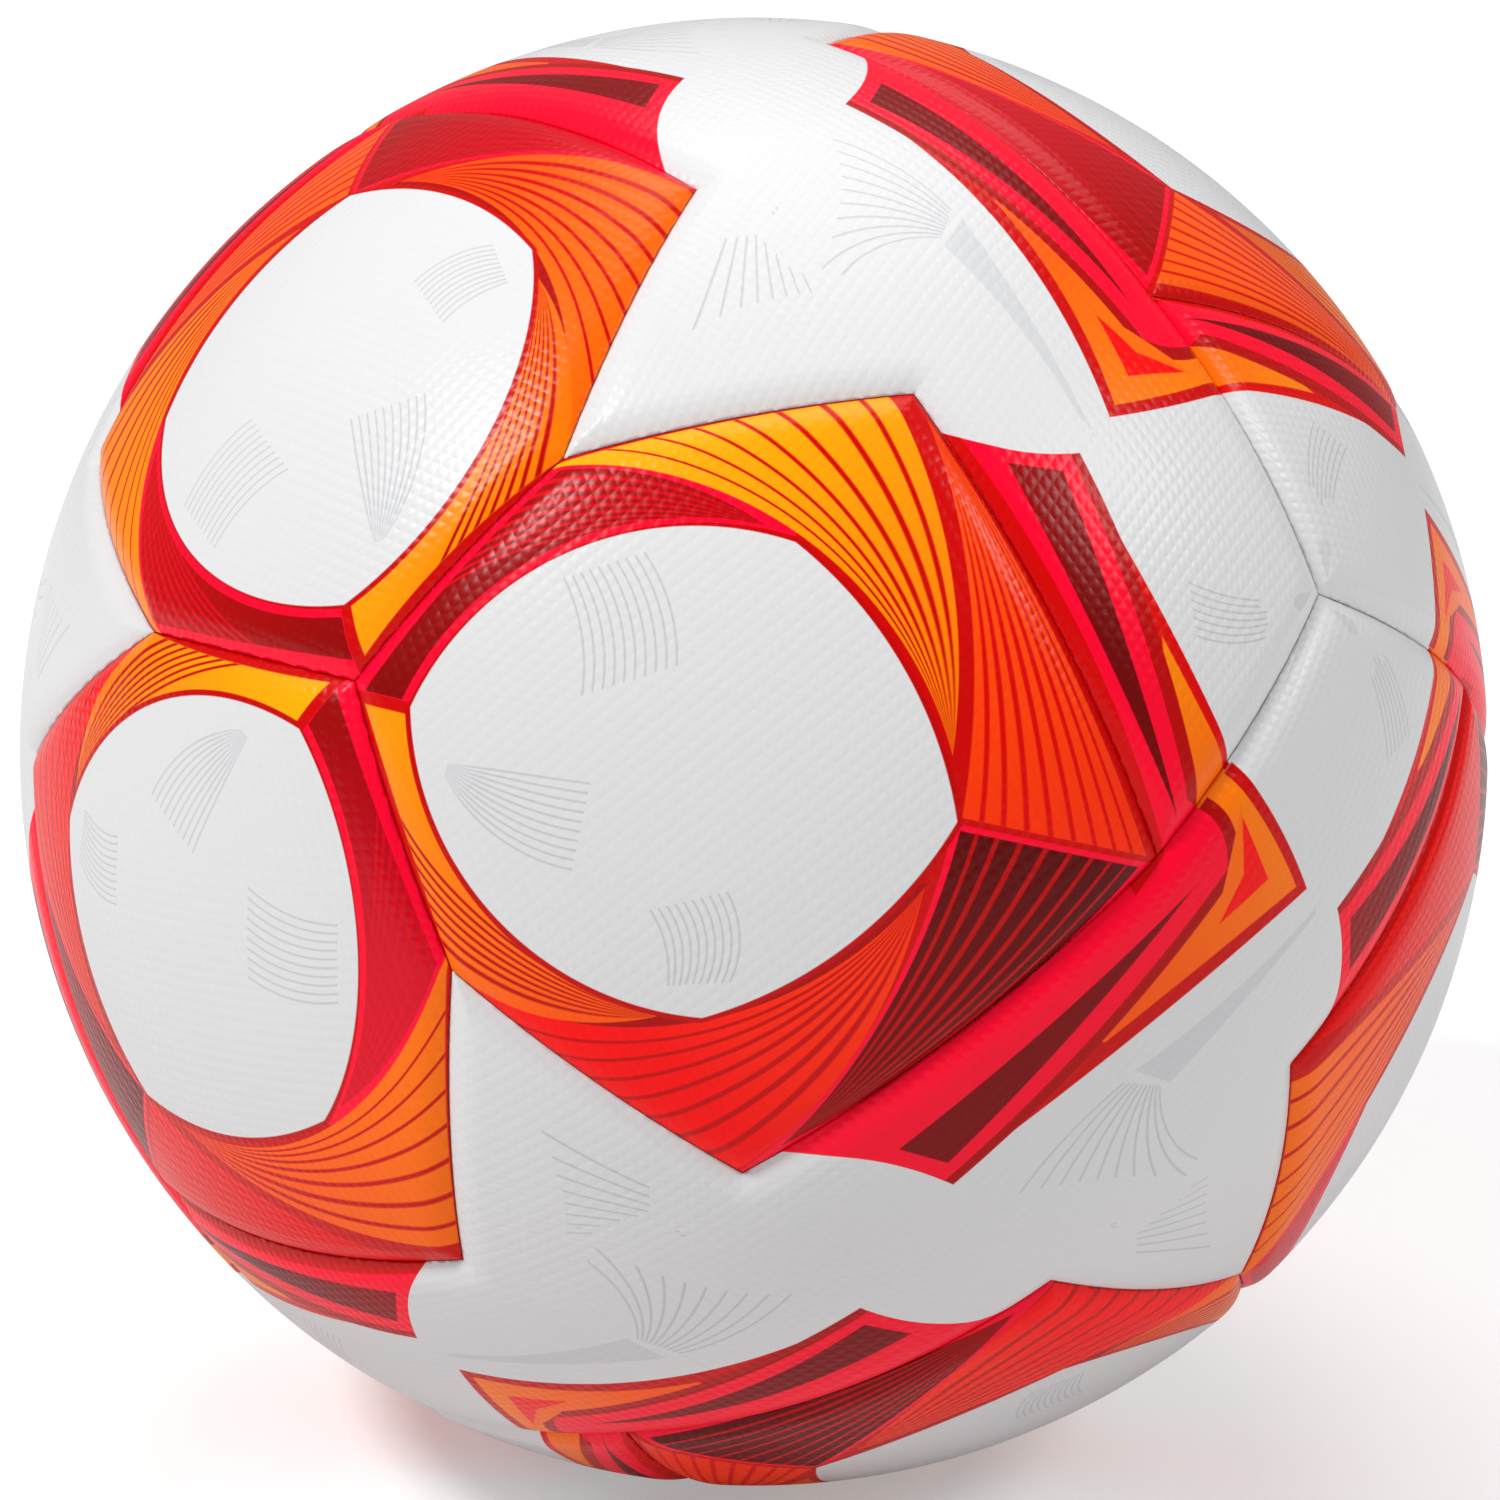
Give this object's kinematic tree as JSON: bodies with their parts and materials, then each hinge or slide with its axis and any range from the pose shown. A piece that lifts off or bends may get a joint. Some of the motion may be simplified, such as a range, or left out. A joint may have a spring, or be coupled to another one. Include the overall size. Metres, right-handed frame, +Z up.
{
  "type": "soccer ball",
  "caption": "Inflated match football: bonded panels with rolled seams over foam pads, a cloth carcass and a rubber bladder with a needle valve.",
  "frame": {"origin": "centre of the ball", "axes": "+Z up from the ground; -Y faces the viewer, where the middle of a flame panel shows; +X to the viewer's right"},
  "size_m": [0.2194, 0.2196, 0.2188],
  "materials": {
    "flame_cover": "satin printed polyurethane with a fine pebbled emboss, flame graphic in yellow, orange, red and maroon",
    "white_cover": "satin white polyurethane with a fine pebbled emboss and pink, red and maroon stripes near its inner corners",
    "foam": "matt closed-cell foam",
    "carcass": "woven polyester cloth",
    "bladder": "matt butyl rubber",
    "valve_seat": "moulded rubber",
    "valve_core": "silicone rubber",
    "balance_weight": "dense rubber"
  },
  "bodies": {
    "root": {"flame_cover_01": "flame_cover", "flame_cover_02": "flame_cover", "flame_cover_03": "flame_cover", "flame_cover_04": "flame_cover", "flame_cover_05": "flame_cover", "flame_cover_06": "flame_cover", "flame_cover_07": "flame_cover", "flame_cover_08": "flame_cover", "flame_cover_09": "flame_cover", "flame_cover_10": "flame_cover", "flame_cover_11": "flame_cover", "flame_cover_12": "flame_cover", "white_cover_01": "white_cover", "white_cover_02": "white_cover", "white_cover_03": "white_cover", "white_cover_04": "white_cover", "white_cover_05": "white_cover", "white_cover_06": "white_cover", "flame_pad_01": "foam", "flame_pad_02": "foam", "flame_pad_03": "foam", "flame_pad_04": "foam", "flame_pad_05": "foam", "flame_pad_06": "foam", "flame_pad_07": "foam", "flame_pad_08": "foam", "flame_pad_09": "foam", "flame_pad_10": "foam", "flame_pad_11": "foam", "flame_pad_12": "foam", "white_pad_01": "foam", "white_pad_02": "foam", "white_pad_03": "foam", "white_pad_04": "foam", "white_pad_05": "foam", "white_pad_06": "foam", "carcass": "carcass", "bladder": "bladder", "valve_seat": "valve_seat", "valve_core": "valve_core", "balance_weight": "balance_weight"}
  },
  "joints": []
}
